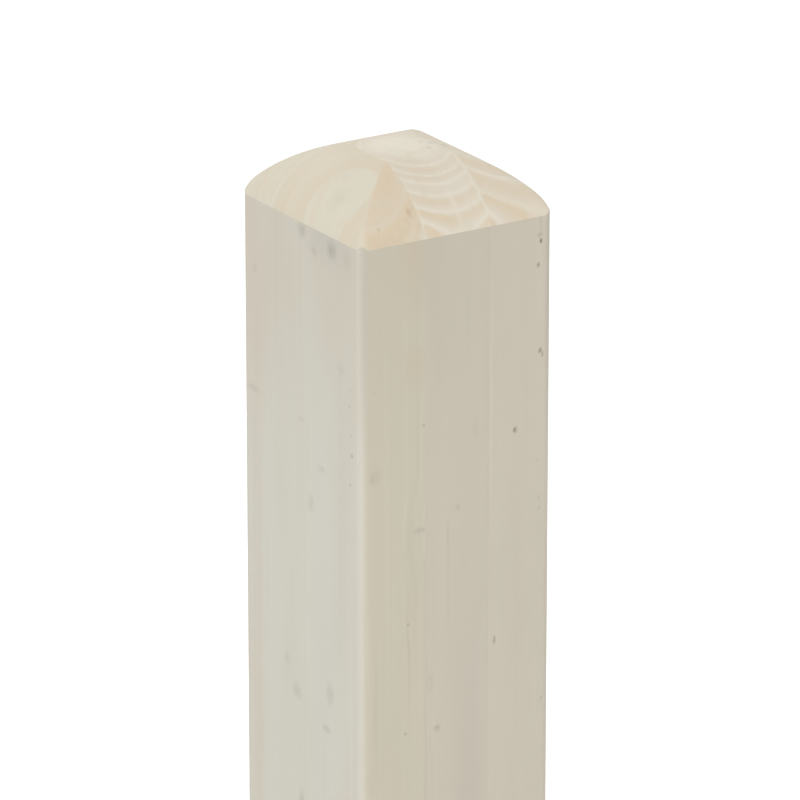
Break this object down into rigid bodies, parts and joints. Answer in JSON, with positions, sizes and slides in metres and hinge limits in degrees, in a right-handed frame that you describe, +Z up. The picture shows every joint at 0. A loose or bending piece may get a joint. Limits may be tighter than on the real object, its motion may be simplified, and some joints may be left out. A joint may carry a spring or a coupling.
{
  "type": "wooden post",
  "caption": "Square timber post with rounded arrises and a domed head cut on all four sides, glued up from boards laid face to face, standing on a flat foot.",
  "frame": {"origin": "centre of the foot, on the ground", "axes": "+Z up the post; +X and -X face the two outer lamellas' broad sides, and -Y is the front, where the edges of all the lamellas show"},
  "size_m": [0.09, 0.09, 1],
  "materials": {
    "left_lamella": "planed softwood with a thin whitish wash, bare end grain on the head",
    "middle_lamella": "planed softwood with a thin whitish wash, bare end grain on the head",
    "right_lamella": "planed softwood with a thin whitish wash, bare end grain on the head"
  },
  "bodies": {
    "root": {"left_lamella": "left_lamella", "middle_lamella": "middle_lamella", "right_lamella": "right_lamella"}
  },
  "joints": []
}
